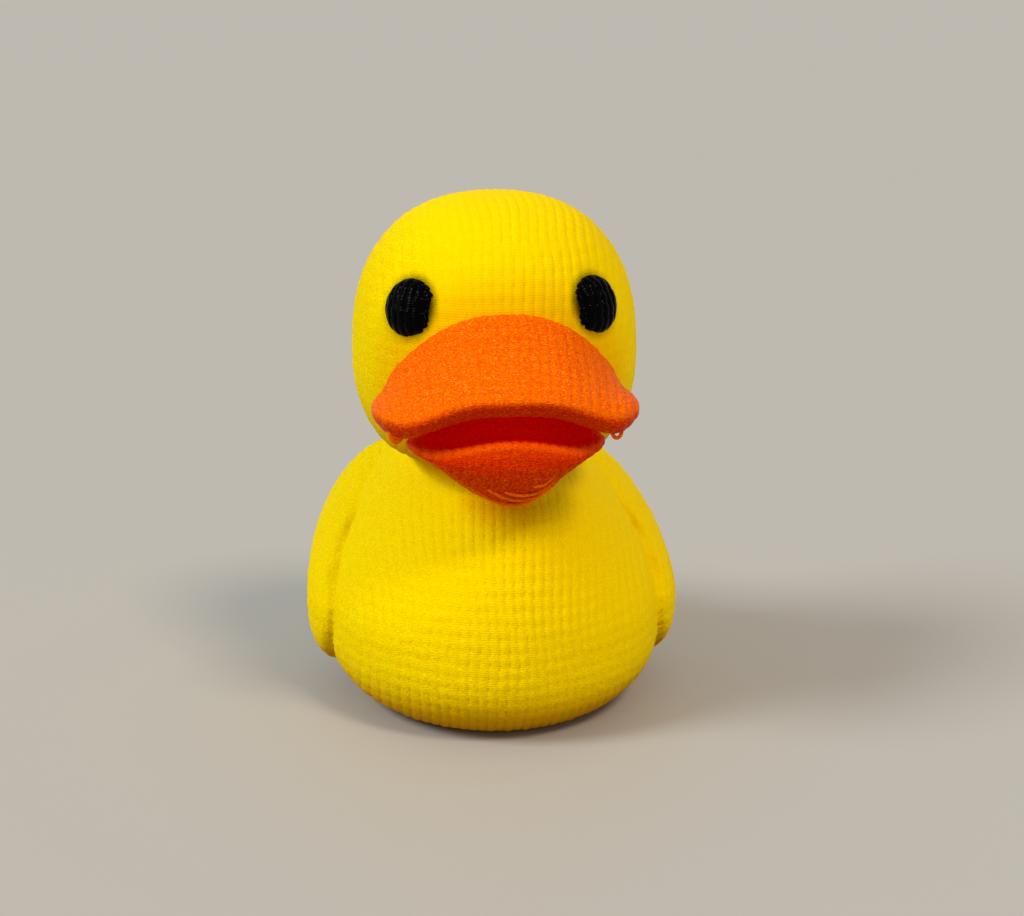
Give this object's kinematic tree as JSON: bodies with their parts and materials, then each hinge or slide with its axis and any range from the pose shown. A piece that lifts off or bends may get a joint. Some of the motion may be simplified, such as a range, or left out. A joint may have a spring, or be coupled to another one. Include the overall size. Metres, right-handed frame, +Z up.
{
  "type": "toy duck figurine",
  "caption": "Sitting duck figurine with a round head, wide open bill, button eyes, raised wings, a short upturned tail and a flat base to stand on.",
  "frame": {"origin": "a point of the flat base, under the axis of the torso", "axes": "+Z up, -Y forward out of the bill, +X towards the duck's own left"},
  "size_m": [0.0414, 0.0557, 0.0568],
  "materials": {
    "yellow_plastic": "satin",
    "orange_plastic": "satin",
    "black_plastic": "satin"
  },
  "bodies": {
    "root": {"body": "yellow_plastic", "bill": "orange_plastic", "eye_left": "black_plastic", "eye_right": "black_plastic"}
  },
  "joints": []
}
